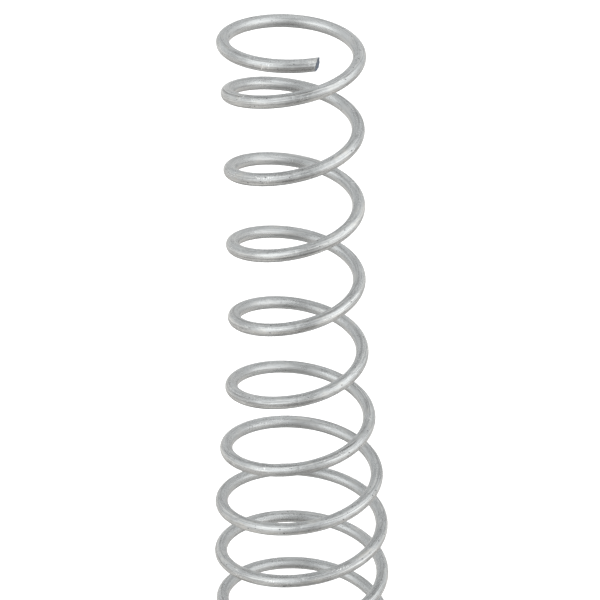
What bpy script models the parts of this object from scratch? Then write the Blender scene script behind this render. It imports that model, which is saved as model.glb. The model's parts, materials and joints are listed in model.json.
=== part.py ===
"""A free-standing coil spring, wound right-handed from one round galvanised steel wire.

The wire is modelled as the stretches that flex against each other. Going down from the free end,
each turn has an upper and a lower half. The halves of a turn meet at the back, where the pitch
opens and closes. One turn meets the next at the front, where the coil leans. The last turn and a
quarter is the closed and ground base coil, which is the fixed root.

Units are metres, +Z is up, and the coil stands on Z = 0 around the Z axis. A place along the wire
is given in turns: 0 is at the front (-Y), and the count grows downwards, by way of -X and +Y.
"""

import math

import bmesh
import bpy
from mathutils import Vector

# Driving dimensions, in metres
WIRE_DIAMETER = 0.00325
WAIST_RADIUS = 0.01575
OPEN_PITCH = 0.0204
LOWER_PITCH = 0.01505
GROUND_DEPTH = 0.0004

# Cuts between stretches, in metres: a sliding cut needs room to pass its neighbours while leaning
LEAN_GAP = 0.0003
SLIDE_GAP = 0.0008
CUT_LEAD = 0.0005

# Shape of the coil: shares of the waist radius
TOP_FLARE = 0.098
BASE_FLARE = 0.352

# Places along the wire, in turns
FREE_END = -0.057
TOP_FLARE_TURNS = 1.6
TOP_OPENING = (-0.15, 1.35)
BASE_FLARE_SPAN = (3.85, 8.15)
PITCH_DROP_SPAN = (4.2, 7.7)
BASE_CLOSING = (11.19, 11.79)
BASE_END = 12.25
FIRST_SLIDE = 0.5
FLEXING_TURNS = 11

# Fineness of the model
POINTS_PER_TURN = 32
STEPS_PER_TURN = 200
SECTION_RESOLUTION = 2

# Finish
ZINC_COLOUR = (0.60, 0.61, 0.62, 1.0)
ZINC_METALLIC = 1.0
ZINC_ROUGHNESS = 0.36

WIRE_RADIUS = WIRE_DIAMETER / 2
LOWEST_WIRE = WIRE_RADIUS - GROUND_DEPTH
OUTER_RADIUS = WAIST_RADIUS * (1 + BASE_FLARE) + WIRE_RADIUS


def clear_scene():
    for item in list(bpy.data.objects):
        bpy.data.objects.remove(item, do_unlink=True)


def new_collection(name):
    collection = bpy.data.collections.new(name)
    bpy.context.scene.collection.children.link(collection)
    return collection


def ease(turn, span):
    """Rise smoothly from 0 to 1 between the two places of span."""
    share = (turn - span[0]) / (span[1] - span[0])
    share = min(max(share, 0.0), 1.0)
    return share * share * (3 - 2 * share)


def coil_radius(turn):
    """Distance of the wire's centre from the axis: flared a little on top, and wide at the base."""
    flare = TOP_FLARE * max(0.0, 1 - turn / TOP_FLARE_TURNS) ** 2
    return WAIST_RADIUS * (1 + flare + BASE_FLARE * ease(turn, BASE_FLARE_SPAN))


def pitch(turn):
    """Fall of the wire for each turn: nearly closed on top, open, tighter below, closed at the base."""
    open_pitch = OPEN_PITCH + (LOWER_PITCH - OPEN_PITCH) * ease(turn, PITCH_DROP_SPAN)
    return open_pitch * ease(turn, TOP_OPENING) * (1 - ease(turn, BASE_CLOSING))


def wire_height(turn):
    """Height of the wire's centre, summed up from the base end."""
    steps = max(1, round((BASE_END - turn) * STEPS_PER_TURN))
    width = (BASE_END - turn) / steps
    rise = sum(pitch(turn + (step + 0.5) * width) for step in range(steps)) * width
    return LOWEST_WIRE + rise


def wire_point(turn):
    angle = 2 * math.pi * turn
    radius = coil_radius(turn)
    return Vector((-radius * math.sin(angle), -radius * math.cos(angle), wire_height(turn)))


def level_direction(turn):
    """The way the wire runs, going down, seen from above."""
    angle = 2 * math.pi * turn
    return Vector((-math.cos(angle), math.sin(angle), 0))


def cut_end(turn, side):
    """Two points that end a stretch half a gap from a cut, with its end face parallel to the axis."""
    gap = LEAN_GAP if turn == round(turn) else SLIDE_GAP
    face = wire_point(turn) + level_direction(turn) * side * gap / 2
    return [face, face + level_direction(turn) * side * CUT_LEAD]


def stretch_points(top, bottom):
    """Centre line of the wire from top to bottom; the wire's own two ends have no cut."""
    steps = max(2, round((bottom - top) * POINTS_PER_TURN))
    inner = [wire_point(top + (bottom - top) * step / steps) for step in range(1, steps)]
    start = [wire_point(top)] if top == FREE_END else cut_end(top, 1)
    end = [wire_point(bottom)] if bottom == BASE_END else cut_end(bottom, -1)[::-1]
    return start + inner + end


def zinc(name):
    material = bpy.data.materials.new(name)
    material.use_nodes = True
    shader = material.node_tree.nodes["Principled BSDF"]
    shader.inputs["Base Color"].default_value = ZINC_COLOUR
    shader.inputs["Metallic"].default_value = ZINC_METALLIC
    shader.inputs["Roughness"].default_value = ZINC_ROUGHNESS
    return material


def wire_stretch(name, top, bottom, origin, collection):
    """A stretch of the wire as a round curve, with its object's origin on the joint it turns on."""
    curve = bpy.data.curves.new(name, "CURVE")
    curve.dimensions = "3D"
    curve.twist_mode = "Z_UP"
    curve.bevel_depth = WIRE_RADIUS
    curve.bevel_resolution = SECTION_RESOLUTION
    curve.use_fill_caps = True
    points = stretch_points(top, bottom)
    spline = curve.splines.new("POLY")
    spline.points.add(len(points) - 1)
    for place, point in zip(spline.points, points):
        place.co = (*(point - origin), 1)
    curve.materials.append(zinc("zinc_" + name))
    stretch = bpy.data.objects.new(name, curve)
    stretch.location = origin
    collection.objects.link(stretch)
    return stretch


def as_mesh(stretch, collection):
    """The same object as a closed mesh, which a Boolean can cut."""
    bpy.context.view_layer.update()
    evaluated = stretch.evaluated_get(bpy.context.evaluated_depsgraph_get())
    mesh = bpy.data.meshes.new_from_object(evaluated)
    shell = bmesh.new()
    shell.from_mesh(mesh)
    bmesh.ops.remove_doubles(shell, verts=shell.verts, dist=0.00001)
    bmesh.ops.recalc_face_normals(shell, faces=shell.faces)
    shell.to_mesh(mesh)
    shell.free()
    name, place = stretch.name, stretch.matrix_world.copy()
    bpy.data.objects.remove(stretch, do_unlink=True)
    solid = bpy.data.objects.new(name, mesh)
    solid.matrix_world = place
    collection.objects.link(solid)
    return solid


def grind_flat(solid, cutters):
    """Grind the underside of the base coil level with Z = 0."""
    side = 3 * OUTER_RADIUS
    bpy.ops.mesh.primitive_cube_add(size=side, location=(0, 0, -side / 2))
    wheel = bpy.context.active_object
    wheel.name = "grinding_cutter"
    wheel.hide_render = True
    wheel.display_type = "WIRE"
    for collection in list(wheel.users_collection):
        collection.objects.unlink(wheel)
    cutters.objects.link(wheel)
    cut = solid.modifiers.new("ground_face", "BOOLEAN")
    cut.operation = "DIFFERENCE"
    cut.solver = "EXACT"
    cut.object = wheel


def build_base(parts, cutters):
    """The closed base coil: the root that the rest of the spring works against."""
    top = FIRST_SLIDE + FLEXING_TURNS - 1
    base = wire_stretch("base_end_coil", top, BASE_END, Vector((0, 0, 0)), parts)
    base = as_mesh(base, parts)
    grind_flat(base, cutters)
    return base


def hang_on(stretch, below):
    """Parent a stretch to the one below it, and leave it where it is."""
    world = below.matrix_world.translation.copy()
    stretch.parent = below
    stretch.location = stretch.location - world
    bpy.context.view_layer.update()


def build_turns(base, parts):
    """The flexing half turns, from the base coil up to the free end."""
    below = base
    for number in range(FLEXING_TURNS, 0, -1):
        lean, slide = number - 1, number - 1 + FIRST_SLIDE
        top = FREE_END if number == 1 else lean
        upper = (f"turn_{number:02d}_upper_half", top, slide)
        lower = (f"turn_{number:02d}_lower_half", slide, number)
        halves = [upper] if number == FLEXING_TURNS else [lower, upper]
        for name, start, end in halves:
            stretch = wire_stretch(name, start, end, wire_point(end), parts)
            hang_on(stretch, below)
            below = stretch


def main():
    clear_scene()
    parts = new_collection("coil_spring")
    cutters = new_collection("cutters")
    base = build_base(parts, cutters)
    build_turns(base, parts)


main()
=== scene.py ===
"""The looks of a galvanised coil spring: a fine mesh for each turn of wire, its zinc, and a studio."""

import json
import math
from collections import namedtuple

import bpy
import numpy as np
from mathutils import Matrix, Vector


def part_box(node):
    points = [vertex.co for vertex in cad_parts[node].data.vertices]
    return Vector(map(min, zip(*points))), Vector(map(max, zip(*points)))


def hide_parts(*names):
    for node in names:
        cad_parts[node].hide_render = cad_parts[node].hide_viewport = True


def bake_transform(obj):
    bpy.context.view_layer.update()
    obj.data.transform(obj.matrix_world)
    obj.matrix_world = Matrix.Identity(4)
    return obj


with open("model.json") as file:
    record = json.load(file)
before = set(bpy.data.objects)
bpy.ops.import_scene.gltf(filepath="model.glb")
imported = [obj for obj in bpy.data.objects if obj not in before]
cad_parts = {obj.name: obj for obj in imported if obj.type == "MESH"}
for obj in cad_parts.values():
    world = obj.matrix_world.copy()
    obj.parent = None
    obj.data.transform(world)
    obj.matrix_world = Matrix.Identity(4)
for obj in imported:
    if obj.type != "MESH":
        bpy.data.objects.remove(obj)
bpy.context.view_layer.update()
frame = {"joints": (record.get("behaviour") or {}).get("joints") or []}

MM = 0.001

# The coil's plan, as in the CAD part. Places along the wire are in turns, from the front near its free end
FREE_END = -0.057
TOP_FLARE_TURNS = 1.6
TOP_OPENING = (-0.15, 1.35)
BASE_FLARE_SPAN = (3.85, 8.15)
PITCH_DROP_SPAN = (4.2, 7.7)
BASE_CLOSING = (11.19, 11.79)
BASE_END = 12.25
WAIST_TURN = 3
LOW_TURN = 9
LAST_TURN = 11

# Fineness of the wire's mesh
SIDES = 40
RINGS_PER_TURN = 110
STEPS_PER_TURN = 400
DOME_RINGS = 5
SHARP_ANGLE = math.radians(32)

# The finishes, by the order of the materials on each wire
ZINC, SHEARED, GROUND = range(3)

# Half the run, in turns, over which the lowest flexing turn settles into the base coil
SETTLE = 0.15

# Small unevenness of a real coil: the top turn stands a little high, and is pressed in on its left
TOP_LIFT = 0.0004
TOP_LIFT_SPAN = (0.45, 1.05)
TOP_PRESS = 0.022
TOP_PRESS_TURN = 0.20
TOP_PRESS_SPREAD = 0.12

# Unevenness of the zinc coat, as a share of the wire's radius: a slow roll, and waves that are given by
# height, radians per millimetre of wire, times around the wire, phase, and how far the phase drifts
COAT_LUMPS = 0.006
COAT_ROLL_RATE = 0.21
COAT_DRIFT_RATE = 0.11
COAT_WAVES = (
    (0.8, 0.47, 2, 1.3, 0.0),
    (0.6, 0.93, -3, 0.4, 0.0),
    (0.5, 1.71, 2, 0.0, 2.2),
)

# How far inside the wire's radius the round ends stay, as a share of it, so that the coat covers them
DOME_INSET = 1.5 * COAT_LUMPS

# The sheared free end. Lengths are shares of the wire's radius; directions are around the wire,
# in degrees from outwards towards down
SHEAR_SET_BACK = 0.16
SHEAR_OUTWARD = 0.72
SHEAR_DOWN = 0.16
SHEAR_HEEL = 0.12
SHEAR_HEEL_SIDE = 135
SHEAR_HEEL_POWER = 3
SHEAR_REACH = 2.6
SHEAR_FADE_POWER = 1.5

# Tear ridges on the sheared face: height, number across the face, direction and phase in radians
RIDGE_HEIGHT = 0.03
RIDGE_WAVES = 9
RIDGE_DIRECTION = 0.5
RIDGE_PHASE = 1.1

# The dent that the shear leaves behind the cut
PINCH_DEPTH = 0.075
PINCH_SPAN = (0.10, 0.62)
PINCH_SPAN_FADE = 0.08
PINCH_SIDE = -8
PINCH_HALF_WIDTH = 62
PINCH_SIDE_FADE = 14

# Rings: distances from the free end, and for the two cut faces each ring's radius and how far it stands out
END_STEPS = (0.0, 0.05, 0.12, 0.20, 0.30, 0.42, 0.54, 0.62, 0.72, 0.90, 1.15, 1.5, 2.0, 2.6)
SHEARED_FACE_RINGS = ((0.30, 0.07), (0.55, 0.06), (0.78, 0.02), (0.93, -0.03), (0.985, -0.015))
SQUARE_FACE_RINGS = ((0.97, 0.05), (0.9, 0.06), (0.5, 0.06))


# ---------------------------------------------------------------- sizes from the frame

def hinge_points():
    """The wire's centre at the front of each turn, from the lean joints: {turn: point}."""
    hinges = [joint for joint in frame["joints"] if joint["type"] == "hinge"]
    return {int(joint["name"][-2:]): Vector(joint["pos_m"]) for joint in hinges}


def squash_travel():
    """How far each turn can be squashed, from the stretch joints: {turn: metres}."""
    slides = [joint for joint in frame["joints"] if joint["type"] == "slide"]
    return {int(joint["name"][-2:]): -joint["range_m"][0] for joint in slides}


HINGES = hinge_points()
SQUASH = squash_travel()


def radius_at(turn):
    """The coil's radius at the front of a turn."""
    return HINGES[turn].to_2d().length


WAIST_RADIUS = radius_at(WAIST_TURN)
WIRE_RADIUS = -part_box(f"turn_{WAIST_TURN:02d}_lower_half")[0].y - WAIST_RADIUS
BASE_FLARE = radius_at(LOW_TURN) / WAIST_RADIUS - 1
TOP_FLARE = (-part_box("turn_01_upper_half")[0].y - WIRE_RADIUS) / WAIST_RADIUS - 1
OPEN_PITCH = HINGES[WAIST_TURN - 1].z - HINGES[WAIST_TURN].z
LOWER_PITCH = HINGES[LOW_TURN].z - HINGES[LOW_TURN + 1].z


# ---------------------------------------------------------------- the wire's centre line

def ease(turn, span):
    """Rise smoothly from 0 to 1 over a span of turns."""
    share = np.clip((turn - span[0]) / (span[1] - span[0]), 0, 1)
    return share * share * (3 - 2 * share)


def coil_radius(turn):
    """The coil's radius: a flare at the top, a waist, and a wider base."""
    flare = TOP_FLARE * np.maximum(0, 1 - turn / TOP_FLARE_TURNS) ** 2
    return WAIST_RADIUS * (1 + flare + BASE_FLARE * ease(turn, BASE_FLARE_SPAN))


def pitch(turn):
    """How fast the wire falls, in metres a turn: nearly closed at the top, and closed at the base."""
    open_pitch = OPEN_PITCH + (LOWER_PITCH - OPEN_PITCH) * ease(turn, PITCH_DROP_SPAN)
    return open_pitch * ease(turn, TOP_OPENING) * (1 - ease(turn, BASE_CLOSING))


def running_sum(values, width):
    """Integral of evenly spaced values from the first one on."""
    return np.concatenate([[0], np.cumsum((values[1:] + values[:-1]) / 2) * width])


FINE_TURNS = np.linspace(FREE_END, BASE_END, round((BASE_END - FREE_END) * STEPS_PER_TURN) + 1)
FINE_WIDTH = FINE_TURNS[1] - FINE_TURNS[0]
FINE_PITCH = pitch(FINE_TURNS)
FINE_FALL = running_sum(FINE_PITCH, FINE_WIDTH)
FINE_LENGTH = running_sum(np.hypot(2 * math.pi * coil_radius(FINE_TURNS), FINE_PITCH), FINE_WIDTH)
TOP_HEIGHT = HINGES[WAIST_TURN].z + np.interp(WAIST_TURN, FINE_TURNS, FINE_FALL)


def centre_line(turn):
    """Points of the wire's centre, one row for each turn value."""
    angle = 2 * math.pi * turn
    press = TOP_PRESS * np.exp(-(((turn - TOP_PRESS_TURN) / TOP_PRESS_SPREAD) ** 2))
    radius = coil_radius(turn) * (1 - press)
    height = TOP_HEIGHT - np.interp(turn, FINE_TURNS, FINE_FALL)
    height = height + TOP_LIFT * (1 - ease(turn, TOP_LIFT_SPAN))
    return np.stack([-radius * np.sin(angle), -radius * np.cos(angle), height], axis=-1)


def wire_frame(turn):
    """Unit vectors along the wire away from the free end, outwards from the coil, and down across it."""
    angle = 2 * math.pi * turn
    level = np.stack([-np.cos(angle), np.sin(angle), np.zeros_like(turn)], axis=-1)
    fall = pitch(turn) / (2 * math.pi * coil_radius(turn))
    along = level - fall[:, None] * np.array([0, 0, 1])
    along /= np.linalg.norm(along, axis=1)[:, None]
    outward = np.stack([-np.sin(angle), -np.cos(angle), np.zeros_like(turn)], axis=-1)
    return along, outward, np.cross(outward, along)


# A place on the wire: its centre, the unit vectors there, and the length of wire before it
Station = namedtuple("Station", "centre along outward down length")


def stations(turns):
    """The places on the wire at the given turns."""
    lengths = np.interp(turns, FINE_TURNS, FINE_LENGTH)
    return [Station(*values) for values in zip(centre_line(turns), *wire_frame(turns), lengths)]


# ---------------------------------------------------------------- how the stretch spreads along a turn

def hermite(share, rate_in, rate_out):
    """Rise from 0 to 1 over share, with the given rates at the two ends."""
    square, cube = share ** 2, share ** 3
    return (
        rate_in * (cube - 2 * square + share)
        + (3 * square - 2 * cube)
        + rate_out * (cube - square)
    )


def settle(run):
    """Rise evenly with run, in turns, then level off softly at 1 where the base coil begins."""
    soft = np.clip((run - 1 + SETTLE) / (2 * SETTLE), 0, 1)
    return np.minimum(run, 1 - SETTLE) + SETTLE * (2 * soft - soft * soft)


def stretch_weight(turns, number):
    """How much of turn number's stretch lies above each place: even along the wire, with no kink."""
    run = turns - (number - 1)
    if number == LAST_TURN:
        return settle(run)
    own, below = SQUASH[number], SQUASH[number + 1]
    above = SQUASH[number - 1] if number > 1 else 0
    return hermite(np.clip(run, 0, 1), (above + own) / (2 * own), (below + own) / (2 * own))


# ---------------------------------------------------------------- the wire's section

AROUND = np.linspace(0, 2 * math.pi, SIDES, endpoint=False)


def coat(length, around):
    """Unevenness of the zinc coat at a place along and around the wire, as a share of its radius."""
    run = length / MM
    waves = np.sin(COAT_ROLL_RATE * run + np.cos(around))
    total = 1.0
    for height, rate, lobes, phase, drift in COAT_WAVES:
        moved = phase + drift * np.sin(COAT_DRIFT_RATE * run)
        waves = waves + height * np.sin(rate * run + lobes * around + moved)
        total += height
    return COAT_LUMPS * waves / total


def around_from(side):
    """Angles around the wire, measured from a side given in degrees, within half a turn."""
    return (AROUND - math.radians(side) + math.pi) % (2 * math.pi) - math.pi


def shear_shift(distance):
    """How far the sheared end is set back along the wire, at a distance from it in metres."""
    fade = max(0.0, 1 - distance / (SHEAR_REACH * WIRE_RADIUS)) ** SHEAR_FADE_POWER
    lean = SHEAR_SET_BACK + SHEAR_OUTWARD * np.cos(AROUND) + SHEAR_DOWN * np.sin(AROUND)
    heel = SHEAR_HEEL * np.maximum(0, np.cos(around_from(SHEAR_HEEL_SIDE))) ** SHEAR_HEEL_POWER
    return (lean - heel) * WIRE_RADIUS * fade


def pinch(distance):
    """The dent behind the cut, at a distance from the free end: a share of the radius, all round a ring."""
    place = distance / WIRE_RADIUS
    start, end = PINCH_SPAN
    begun = np.clip((place - start) / PINCH_SPAN_FADE, 0, 1)
    ended = np.clip((end - place) / PINCH_SPAN_FADE, 0, 1)
    off_side = np.degrees(np.abs(around_from(PINCH_SIDE)))
    across = np.clip((PINCH_HALF_WIDTH - off_side) / PINCH_SIDE_FADE, 0, 1)
    return PINCH_DEPTH * begun * ended * across


# ---------------------------------------------------------------- wire meshes

class WireMesh:
    """Rings of points along a stretch of wire, joined into one closed mesh."""

    def __init__(self):
        self.points, self.places, self.weights = [], [], []
        self.faces, self.finish = [], []
        self.last = None

    def point_count(self):
        return sum(len(rows) for rows in self.points)

    def ring(self, station, radius, shift, weight, finish=ZINC):
        """Add a ring, its points moved by shift along the wire, and join it to the one before."""
        start = self.point_count()
        radii = np.broadcast_to(radius, AROUND.shape)[:, None]
        shifts = np.broadcast_to(shift, AROUND.shape)[:, None]
        spokes = np.cos(AROUND)[:, None] * station.outward + np.sin(AROUND)[:, None] * station.down
        across = np.column_stack([np.cos(AROUND), np.sin(AROUND)]) * radii
        self.points.append(station.centre + spokes * radii + station.along * shifts)
        self.places.append(np.column_stack([across, station.length + shifts]) / MM)
        self.weights.append(np.full(SIDES, weight))
        if self.last is not None:
            self.join(self.last, start, finish)
        self.last = start

    def join(self, before, start, finish):
        """Join two rings, given by their first points, with a band of faces."""
        for side in range(SIDES):
            after = (side + 1) % SIDES
            self.faces.append((before + side, start + side, start + after, before + after))
            self.finish.append(finish)

    def close(self, station, shift, weight, first, finish):
        """Close the mesh with a fan of triangles, over its first or its last ring."""
        tip = self.point_count()
        rim = 0 if first else self.last
        self.points.append(np.array([station.centre + station.along * shift]))
        self.places.append(np.array([[0, 0, station.length / MM]]))
        self.weights.append(np.array([weight]))
        for side in range(SIDES):
            after = (side + 1) % SIDES
            edge = (rim + side, rim + after) if first else (rim + after, rim + side)
            self.faces.append((*edge, tip))
            self.finish.append(finish)


def add_sheared_end(mesh, station):
    """The cut face of the free end, from its middle out to its rim, with tear ridges across it."""
    lean = shear_shift(0.0)
    middle = SHEAR_SET_BACK * WIRE_RADIUS
    for share, lift in SHEARED_FACE_RINGS:
        wave = RIDGE_WAVES * share * np.sin(AROUND + RIDGE_DIRECTION) + RIDGE_PHASE
        torn = RIDGE_HEIGHT * np.sin(wave) * share
        shift = middle + (lean - middle) * share + (lift + torn) * WIRE_RADIUS
        mesh.ring(station, WIRE_RADIUS * share, shift, 0.0, SHEARED)


def add_square_end(mesh, station):
    """The base end's cut face: square, with a broken edge."""
    for share, lift in SQUARE_FACE_RINGS:
        mesh.ring(station, WIRE_RADIUS * share, lift * WIRE_RADIUS, 1.0, SHEARED)


def add_dome(mesh, station, weight, direction):
    """A round end that sits inside the next stretch, so that the joint shows no gap when it leans."""
    angles = np.linspace(0, math.pi / 2, DOME_RINGS + 2)[1:-1]
    for angle in (angles if direction > 0 else angles[::-1]):
        radius = WIRE_RADIUS * (1 - DOME_INSET) * math.cos(angle)
        mesh.ring(station, radius, direction * WIRE_RADIUS * math.sin(angle), weight)


def ring_turns(number):
    """Where the rings of one turn of wire lie, in turns: closer together behind the free end."""
    top = FREE_END if number == 1 else number - 1
    bottom = BASE_END if number == LAST_TURN else number
    turns = np.linspace(top, bottom, round((bottom - top) * RINGS_PER_TURN) + 1)
    if number == 1:
        close = np.interp(np.array(END_STEPS) * WIRE_RADIUS, FINE_LENGTH, FINE_TURNS)
        turns = np.concatenate([close, turns[turns > close[-1] + 0.5 / RINGS_PER_TURN]])
    return turns


def build_wire(number):
    """The wire of one turn, from lean cut to lean cut; the last one runs on to the base end."""
    first, last = number == 1, number == LAST_TURN
    turns = ring_turns(number)
    places = stations(turns)
    weights = stretch_weight(turns, number)
    mesh = WireMesh()
    if first:
        add_sheared_end(mesh, places[0])
    else:
        add_dome(mesh, places[0], 0.0, -1)
    for station, weight in zip(places, weights):
        radius = WIRE_RADIUS * (1 + coat(station.length, AROUND))
        shift = 0.0
        if first:
            shift = shear_shift(station.length)
            radius = radius * (1 - pinch(station.length))
        mesh.ring(station, radius, shift, weight)
    if last:
        add_square_end(mesh, places[-1])
    else:
        add_dome(mesh, places[-1], 1.0, 1)
    head = SHEAR_SET_BACK + SHEARED_FACE_RINGS[0][1] if first else -1
    tail = 0 if last else 1
    mesh.close(places[0], head * WIRE_RADIUS, weights[0], True, SHEARED if first else ZINC)
    mesh.close(places[-1], tail * WIRE_RADIUS, weights[-1], False, SHEARED if last else ZINC)
    return mesh


def wire_object(number, materials):
    """The object of one turn of wire, ground flat where it stands, and the blend weights of its points."""
    mesh = build_wire(number)
    points = np.concatenate(mesh.points)
    ground = points[:, 2] <= 0
    points[ground, 2] = 0
    finish = np.array(mesh.finish)
    if number == LAST_TURN:
        flat = [all(ground[corner] for corner in face) for face in mesh.faces]
        finish[np.array(flat)] = GROUND
    name = f"wire_turn_{number:02d}"
    data = bpy.data.meshes.new(name)
    data.from_pydata(points.tolist(), [], mesh.faces)
    data.polygons.foreach_set("material_index", finish.astype(np.int32))
    place = data.attributes.new("wire_place", "FLOAT_VECTOR", "POINT")
    place.data.foreach_set("vector", np.concatenate(mesh.places).astype(np.float32).ravel())
    data.shade_smooth()
    data.set_sharp_from_angle(angle=SHARP_ANGLE)
    for material in materials:
        data.materials.append(material)
    wire = bpy.data.objects.new(name, data)
    bpy.context.scene.collection.objects.link(wire)
    return wire, np.concatenate(mesh.weights)


def bend_with_frame(wire, number):
    """Fix a turn's placement into its points, and hide the CAD bodies that it stands in for."""
    turn = f"turn_{number:02d}"
    lowest = number == LAST_TURN
    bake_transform(wire)
    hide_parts(f"{turn}_upper_half", "base_end_coil" if lowest else f"{turn}_lower_half")


# ---------------------------------------------------------------- node trees

# Sockets of a colour mix node, which share their names with those of its other kinds
MIX_FACTOR, MIX_FIRST, MIX_SECOND, MIX_RESULT = 0, 6, 7, 2


class Nodes:
    """A short way to write a node tree: each call adds a node and returns its output."""

    def __init__(self, tree):
        self.tree = tree

    def put(self, value, socket):
        """Link an output to a socket, or set the socket's own value."""
        if isinstance(value, bpy.types.NodeSocket):
            self.tree.links.new(value, socket)
        else:
            socket.default_value = value

    def fill(self, node, **inputs):
        """Set a node's inputs by name, with _ for a space."""
        for name, value in inputs.items():
            self.put(value, node.inputs[name.replace("_", " ")])

    def add(self, kind, *inputs, out=0, how=None, **named):
        """Add a node, with its inputs by order or by name, and how as its operation."""
        node = self.tree.nodes.new(kind)
        if how:
            node.operation = how
        for socket, value in zip(node.inputs, inputs):
            self.put(value, socket)
        self.fill(node, **named)
        return node.outputs[out]

    def maths(self, how, first, second):
        return self.add("ShaderNodeMath", first, second, how=how)

    def vector_maths(self, how, first, second, out=0):
        return self.add("ShaderNodeVectorMath", first, second, how=how, out=out)

    def span(self, value, low, high, to_low=0.0, to_high=1.0):
        """Carry a value smoothly from one span to another."""
        output = self.add("ShaderNodeMapRange", value, low, high, to_low, to_high)
        output.node.interpolation_type = "SMOOTHSTEP"
        return output

    def mix(self, factor, first, second):
        """Mix two colours."""
        node = self.tree.nodes.new("ShaderNodeMix")
        node.data_type = "RGBA"
        self.put(factor, node.inputs[MIX_FACTOR])
        self.put(first, node.inputs[MIX_FIRST])
        self.put(second, node.inputs[MIX_SECOND])
        return node.outputs[MIX_RESULT]

    def bump(self, height, strength, distance, below=None):
        """Relief, on top of the relief below it."""
        extra = {} if below is None else {"Normal": below}
        return self.add("ShaderNodeBump", Height=height, Strength=strength, Distance=distance, **extra)

    def noise(self, vector, scale, detail, rough):
        return self.add("ShaderNodeTexNoise", Vector=vector, Scale=scale, Detail=detail, Roughness=rough)

    def spot(self):
        """Place in the straightened wire, in millimetres: outwards, down and along it."""
        output = self.add("ShaderNodeAttribute", out="Vector")
        output.node.attribute_name = "wire_place"
        return output

    def place(self, around, along):
        """Place in the straightened wire, scaled around and along it."""
        return self.vector_maths("MULTIPLY", self.spot(), (around, around, along))

    def pattern(self, around, along, scale, detail, rough):
        """Noise on the straightened wire."""
        return self.noise(self.place(around, along), scale, detail, rough)

    def outward_offset(self):
        """How far a spot lies from the wire's centre, outwards from the coil, in millimetres."""
        return self.add("ShaderNodeSeparateXYZ", self.spot(), out="X")


def new_material(name):
    """A material, its short way to add nodes, and its shader."""
    material = bpy.data.materials.new(name)
    material.use_nodes = True
    return material, Nodes(material.node_tree), material.node_tree.nodes["Principled BSDF"]


# ---------------------------------------------------------------- zinc

CLOUD_DARK = (0.505, 0.515, 0.520, 1)
CLOUD_PALE = (0.640, 0.655, 0.660, 1)
CLOUD_WARM = (0.730, 0.690, 0.620, 1)
LINE_DARK = (0.225, 0.220, 0.220, 1)
LINE_PALE = (0.920, 0.910, 0.880, 1)
GRAIN_DARK = (0.330, 0.330, 0.330, 1)
GRAIN_PALE = (0.850, 0.860, 0.860, 1)
SCUFF = (0.950, 0.950, 0.940, 1)
SCORE = (0.200, 0.195, 0.190, 1)
STAIN = (0.220, 0.205, 0.190, 1)
PIT = (0.090, 0.090, 0.100, 1)

# Patterns of the zinc. Each is given by its scale around and along the wire, and by its noise's scale,
# detail and roughness
ZINC_PATTERNS = {
    "lines": (1.0, 0.014, 3.0, 3.0, 0.55),
    "fine_lines": (1.0, 0.035, 7.0, 2.0, 0.5),
    "clouds": (0.45, 0.20, 1.0, 3.0, 0.6),
    "grain": (1.0, 0.30, 4.2, 3.0, 0.65),
    "chatter": (0.35, 1.0, 2.2, 2.0, 0.5),
}
SCORE_LEVEL = (1.0, 0.016, 1.25, 1.0, 0.5)
SCORE_BREAKS = (0.5, 0.12, 1.1, 2.0, 0.5)
PIT_CHANCE = (0.7, 0.35, 1.1, 2.0, 0.6)
SCUFF_PATCHES = (0.5, 0.16, 1.3, 1.0, 0.5)
SCUFF_MARKS = (0.8, 1.2, 2.6, 3.0, 0.7)
STAIN_SPREAD = (0.8, 0.32, 0.62, 3.0, 0.65)
STAIN_BREAKS = (1.0, 0.8, 3.0, 2.0, 0.5)

# Layers of colour, in order: pattern, the span of its value, the layer's strength at the two ends, colour
ZINC_BASE_SPAN = (0.32, 0.68)
ZINC_LAYERS = (
    ("clouds", 0.55, 0.75, 0.0, 0.50, CLOUD_WARM),
    ("lines", 0.32, 0.50, 0.58, 0.0, LINE_DARK),
    ("lines", 0.55, 0.70, 0.0, 0.54, LINE_PALE),
    ("fine_lines", 0.32, 0.50, 0.34, 0.0, LINE_DARK),
    ("grain", 0.34, 0.50, 0.30, 0.0, GRAIN_DARK),
    ("grain", 0.55, 0.70, 0.0, 0.32, GRAIN_PALE),
)

# Strength of each kind of mark
SCORE_STRENGTH = 0.55
SCUFF_STRENGTH = 0.85
STAIN_STRENGTH = 0.55
PIT_STRENGTH = 0.80

# Scores run where a pattern is near its middle level. Its distance from that level is given for a full
# score and for none
SCORE_MIDDLE = 0.5
SCORE_EDGES = (0.006, 0.024)
SCORE_BREAK_SPAN = (0.42, 0.58)

# Pits: cells of a fine cell pattern, the span of chance that gives a cell its size, and the pit's soft edge
PIT_CELLS = (1.0, 0.7)
PIT_CELL_SCALE = 1.15
PIT_CHANCE_SPAN = (0.42, 0.62)
PIT_SIZE = 0.22
PIT_EDGE = 0.07

SCUFF_PATCH_SPAN = (0.56, 0.66)
SCUFF_MARK_SPAN = (0.53, 0.62)
SCUFF_GRAIN_SPAN = (0.35, 0.55)
STAIN_SPREAD_SPAN = (0.66, 0.74)
STAIN_BREAK_SPAN = (0.35, 0.60)

# The wire's inner side is rubbed less, so it is plainer. Its reach is in millimetres from the wire's centre
PLAIN = (0.560, 0.570, 0.575, 1)
INNER_SIDE = (-1.4, 0.5)
INNER_CALM = 0.60

# Roughness: the spans of clouds and grain, and what each adds
CLOUD_ROUGH_SPAN = (0.3, 0.7)
CLOUD_ROUGHNESS = (0.22, 0.33)
GRAIN_ROUGH_SPAN = (0.4, 0.7)
GRAIN_ROUGHNESS = (0.0, 0.10)
ZINC_METAL = 0.92

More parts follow.
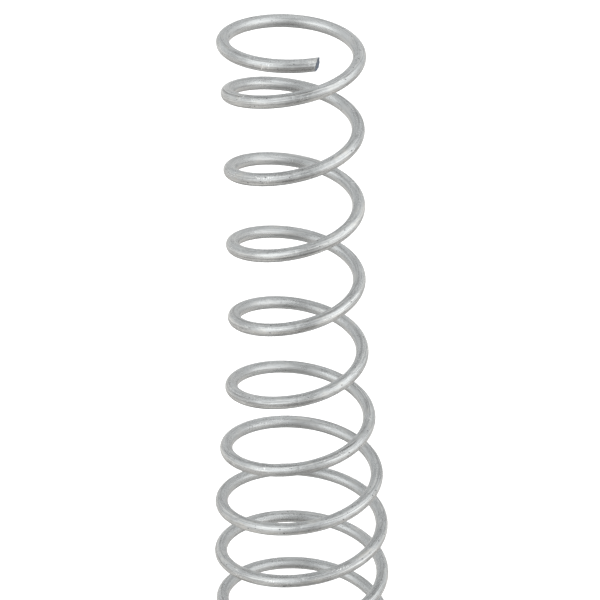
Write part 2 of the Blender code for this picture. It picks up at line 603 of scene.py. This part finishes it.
# Relief, in order: pattern, strength and depth in metres
ZINC_RELIEF = (
    ("lines", 0.45, 0.00008),
    ("fine_lines", 0.35, 0.00004),
    ("grain", 0.20, 0.00006),
    ("chatter", 0.12, 0.00010),
)
PIT_RELIEF = (0.5, 0.00010)


def score_mask(n):
    """Long thin scores from the drawing die, that come and go along the wire."""
    off_middle = n.maths("SUBTRACT", n.pattern(*SCORE_LEVEL), SCORE_MIDDLE)
    distance = n.maths("ABSOLUTE", off_middle, 0.0)
    broken = n.span(n.pattern(*SCORE_BREAKS), *SCORE_BREAK_SPAN)
    return n.maths("MULTIPLY", n.span(distance, *SCORE_EDGES, 1.0, 0.0), broken)


def pit_mask(n):
    """Small dark pits: a share of the cells of a fine cell pattern, each of its own size."""
    cells = n.add("ShaderNodeTexVoronoi", Vector=n.place(*PIT_CELLS), Scale=PIT_CELL_SCALE, Randomness=1.0)
    size = n.span(n.pattern(*PIT_CHANCE), *PIT_CHANCE_SPAN, 0.0, PIT_SIZE)
    return n.span(n.maths("SUBTRACT", size, cells), 0.0, PIT_EDGE)


def scuff_mask(n, grain):
    """Pale scuffs where the zinc is rubbed: short marks, grouped in patches."""
    patches = n.span(n.pattern(*SCUFF_PATCHES), *SCUFF_PATCH_SPAN)
    marks = n.span(n.pattern(*SCUFF_MARKS), *SCUFF_MARK_SPAN)
    grained = n.maths("MULTIPLY", marks, n.span(grain, *SCUFF_GRAIN_SPAN))
    return n.maths("MULTIPLY", patches, grained)


def stain_mask(n):
    """Rare grey-brown stains, longer than they are wide."""
    spread = n.span(n.pattern(*STAIN_SPREAD), *STAIN_SPREAD_SPAN)
    return n.maths("MULTIPLY", spread, n.span(n.pattern(*STAIN_BREAKS), *STAIN_BREAK_SPAN))


def zinc():
    """Zinc on drawn wire: draw lines, cloudy patches, fine grain, pits, stains and pale scuffs."""
    material, n, shader = new_material("galvanised_zinc")
    patterns = {name: n.pattern(*shape) for name, shape in ZINC_PATTERNS.items()}
    clouds, grain = patterns["clouds"], patterns["grain"]
    colour = n.mix(n.span(clouds, *ZINC_BASE_SPAN), CLOUD_DARK, CLOUD_PALE)
    for name, low, high, at_low, at_high, tone in ZINC_LAYERS:
        colour = n.mix(n.span(patterns[name], low, high, at_low, at_high), colour, tone)
    pits = pit_mask(n)
    marks = (
        (score_mask(n), SCORE_STRENGTH, SCORE),
        (scuff_mask(n, grain), SCUFF_STRENGTH, SCUFF),
        (stain_mask(n), STAIN_STRENGTH, STAIN),
        (pits, PIT_STRENGTH, PIT),
    )
    for mask, strength, tone in marks:
        colour = n.mix(n.maths("MULTIPLY", mask, strength), colour, tone)
    colour = n.mix(n.span(n.outward_offset(), *INNER_SIDE, INNER_CALM, 0.0), colour, PLAIN)
    cloud_rough = n.span(clouds, *CLOUD_ROUGH_SPAN, *CLOUD_ROUGHNESS)
    grain_rough = n.span(grain, *GRAIN_ROUGH_SPAN, *GRAIN_ROUGHNESS)
    rough = n.maths("ADD", cloud_rough, grain_rough)
    relief = None
    for name, strength, depth in ZINC_RELIEF:
        relief = n.bump(patterns[name], strength, depth, relief)
    relief = n.bump(n.maths("SUBTRACT", 1.0, pits), *PIT_RELIEF, relief)
    n.fill(shader, Base_Color=colour, Metallic=ZINC_METAL, Roughness=rough, Normal=relief)
    return material


# ---------------------------------------------------------------- bare steel

# Each steel's noise is given by its stretch outwards, down and along the wire (or in x, y and z for the
# ground face), and by its scale, detail and roughness
SHEAR_DARK = (0.070, 0.080, 0.110, 1)
SHEAR_PALE = (0.230, 0.280, 0.360, 1)
SHEAR_TEARS = (1.5, 0.3, 0.3)
SHEAR_TEAR_NOISE = (4.0, 3.0, 0.6)
SHEAR_TEAR_SPAN = (0.30, 0.70)
SHEAR_RELIEF = (0.5, 0.00008)
SHEAR_METAL = 0.85
SHEAR_ROUGHNESS = 0.42

GROUND_DARK = (0.46, 0.46, 0.47, 1)
GROUND_PALE = (0.68, 0.68, 0.69, 1)
GROUND_LINES = (6000.0, 260.0, 0.0)
GROUND_LINE_NOISE = (1.0, 2.0, 0.5)
GROUND_RELIEF = (0.3, 0.00003)
GROUND_METAL = 1.0
GROUND_ROUGHNESS = 0.28


def sheared_steel():
    """The bare steel of a sheared end: dark slate, with tear lines across it."""
    material, n, shader = new_material("sheared_steel")
    tears = n.noise(n.vector_maths("MULTIPLY", n.spot(), SHEAR_TEARS), *SHEAR_TEAR_NOISE)
    colour = n.mix(n.span(tears, *SHEAR_TEAR_SPAN), SHEAR_DARK, SHEAR_PALE)
    relief = n.bump(tears, *SHEAR_RELIEF)
    n.fill(shader, Base_Color=colour, Metallic=SHEAR_METAL, Roughness=SHEAR_ROUGHNESS, Normal=relief)
    return material


def ground_steel():
    """The ground underside of the base coil: bright steel with fine grinding lines."""
    material, n, shader = new_material("ground_steel")
    spot = n.add("ShaderNodeTexCoord", out="Object")
    lines = n.noise(n.vector_maths("MULTIPLY", spot, GROUND_LINES), *GROUND_LINE_NOISE)
    colour = n.mix(lines, GROUND_DARK, GROUND_PALE)
    relief = n.bump(lines, *GROUND_RELIEF)
    n.fill(shader, Base_Color=colour, Metallic=GROUND_METAL, Roughness=GROUND_ROUGHNESS, Normal=relief)
    return material


# ---------------------------------------------------------------- studio

FLOOR_SIZE = 12.0
FLOOR_WHITE = (0.975, 0.975, 0.975, 1)
FLOOR_ROUGHNESS = 0.85
WHITE = (1, 1, 1, 1)
SEEN_WORLD = 1.0

# What the metal reflects: a room of even light, warmer below than above, with pale and dark panels.
# Each panel is given by its direction (x right, y away, z up), the brightness it adds, and the cosines of
# its outer and inner edge
ROOM_LEVEL = 0.87
ROOM_TINT_SPAN = (-0.6, 0.4)
ROOM_TINT_ABOVE = (0.974, 0.995, 0.996, 1)
ROOM_TINT_BELOW = (1.0, 0.975, 0.935, 1)
REFLECTIONS = (
    ((0.82, -0.40, 0.38), 0.70, 0.64, 0.95),
    ((-0.64, -0.61, 0.45), 0.80, 0.75, 0.97),
    ((0.10, -0.90, 0.42), -0.22, 0.55, 0.95),
    ((0.10, -0.73, -0.68), -0.43, 0.79, 0.97),
    ((0.25, 0.0, -0.97), -0.13, 0.10, 0.80),
    ((0.05, 0.83, 0.50), -0.16, 0.55, 0.95),
    ((-0.05, 0.60, -0.80), -0.36, 0.84, 0.97),
)

# Soft boxes: name, place, side in metres and power in watts; all of them face the target
SOFT_BOX_TARGET = (0, 0, 0.1)
SOFT_BOXES = (
    ("overhead", (0.15, 0.3, 1.4), 1.2, 9.0),
    ("key", (0.9, -0.6, 1.0), 0.7, 6.0),
)

AIM_TURN = 4
AIM_RIGHT = 0.0008
AIM_ABOVE = -0.0007
CAMERA_TARGET = Vector((AIM_RIGHT, 0.0, HINGES[AIM_TURN].z + AIM_ABOVE))
CAMERA_DISTANCE = 0.6626
CAMERA_ELEVATION = math.radians(27.49)
CAMERA_ROLL = math.radians(-1.085)
CAMERA_LENS = 158.2
CAMERA_CLIP = 0.01


def reflected_room(n, direction):
    """Brightness and tint of the studio as the metal sees it in a direction."""
    level = ROOM_LEVEL
    for toward, strength, outer, inner in REFLECTIONS:
        toward = Vector(toward).normalized()
        facing = n.vector_maths("DOT_PRODUCT", direction, toward, out="Value")
        level = n.maths("ADD", level, n.span(facing, outer, inner, 0.0, strength))
    height = n.add("ShaderNodeSeparateXYZ", direction, out="Z")
    return level, n.mix(n.span(height, *ROOM_TINT_SPAN), ROOM_TINT_BELOW, ROOM_TINT_ABOVE)


def show_room_to_metal(n, seen, room, output):
    """Use one shader for what the camera sees and another for what the metal reflects."""
    glossy = n.add("ShaderNodeLightPath", out="Is Glossy Ray")
    blend = n.add("ShaderNodeMixShader", glossy, seen, room)
    n.put(blend, n.tree.nodes[output].inputs["Surface"])


def add_floor():
    """A pale floor, which the metal sees as part of the room."""
    bpy.ops.mesh.primitive_plane_add(size=FLOOR_SIZE)
    floor = bpy.context.active_object
    floor.name = "floor"
    material, n, shader = new_material("pale_floor")
    n.fill(shader, Base_Color=FLOOR_WHITE, Roughness=FLOOR_ROUGHNESS, Specular_IOR_Level=0.0)
    incoming = n.add("ShaderNodeNewGeometry", out="Incoming")
    outward = n.add("ShaderNodeVectorMath", incoming, how="SCALE", Scale=-1.0)
    level, tint = reflected_room(n, outward)
    room = n.add("ShaderNodeEmission", Color=tint, Strength=level)
    show_room_to_metal(n, shader.outputs["BSDF"], room, "Material Output")
    floor.data.materials.append(material)


def add_world():
    """Plain white behind the object; the metal sees the reflected room instead."""
    world = bpy.data.worlds.new("studio")
    world.use_nodes = True
    n = Nodes(world.node_tree)
    background = n.tree.nodes["Background"]
    n.fill(background, Color=WHITE, Strength=SEEN_WORLD)
    level, tint = reflected_room(n, n.add("ShaderNodeTexCoord", out="Generated"))
    room = n.add("ShaderNodeBackground", Color=tint, Strength=level)
    show_room_to_metal(n, background.outputs["Background"], room, "World Output")
    bpy.context.scene.world = world


def add_soft_box(name, place, side, watts):
    """A light for the floor and its soft shadows; the metal sees the reflected room instead."""
    light = bpy.data.lights.new(name, "AREA")
    light.shape = "SQUARE"
    light.size = side
    light.energy = watts
    box = bpy.data.objects.new(name, light)
    box.location = place
    box.rotation_euler = (Vector(SOFT_BOX_TARGET) - Vector(place)).to_track_quat("-Z", "Y").to_euler()
    box.visible_glossy = False
    bpy.context.scene.collection.objects.link(box)


def add_camera():
    """A camera at the front, looking down on the upper turns."""
    camera = bpy.data.objects.new("camera", bpy.data.cameras.new("camera"))
    back = Vector((0, -math.cos(CAMERA_ELEVATION), math.sin(CAMERA_ELEVATION)))
    aim = (-back).to_track_quat("-Z", "Y").to_matrix().to_4x4()
    place = Matrix.Translation(CAMERA_TARGET + back * CAMERA_DISTANCE)
    camera.matrix_world = place @ aim @ Matrix.Rotation(CAMERA_ROLL, 4, "Z")
    camera.data.lens = CAMERA_LENS
    camera.data.clip_start = CAMERA_CLIP
    bpy.context.scene.collection.objects.link(camera)
    bpy.context.scene.camera = camera


def build_studio():
    """The floor, the white surroundings, the lights and the camera."""
    add_floor()
    add_world()
    for box in SOFT_BOXES:
        add_soft_box(*box)
    add_camera()
    bpy.context.scene.view_settings.view_transform = "Standard"


def build_wires():
    """One piece for each turn of wire, in place of the CAD wire."""
    materials = [zinc(), sheared_steel(), ground_steel()]
    for number in range(1, LAST_TURN + 1):
        wire, weights = wire_object(number, materials)
        bend_with_frame(wire, number)


build_wires()
build_studio()
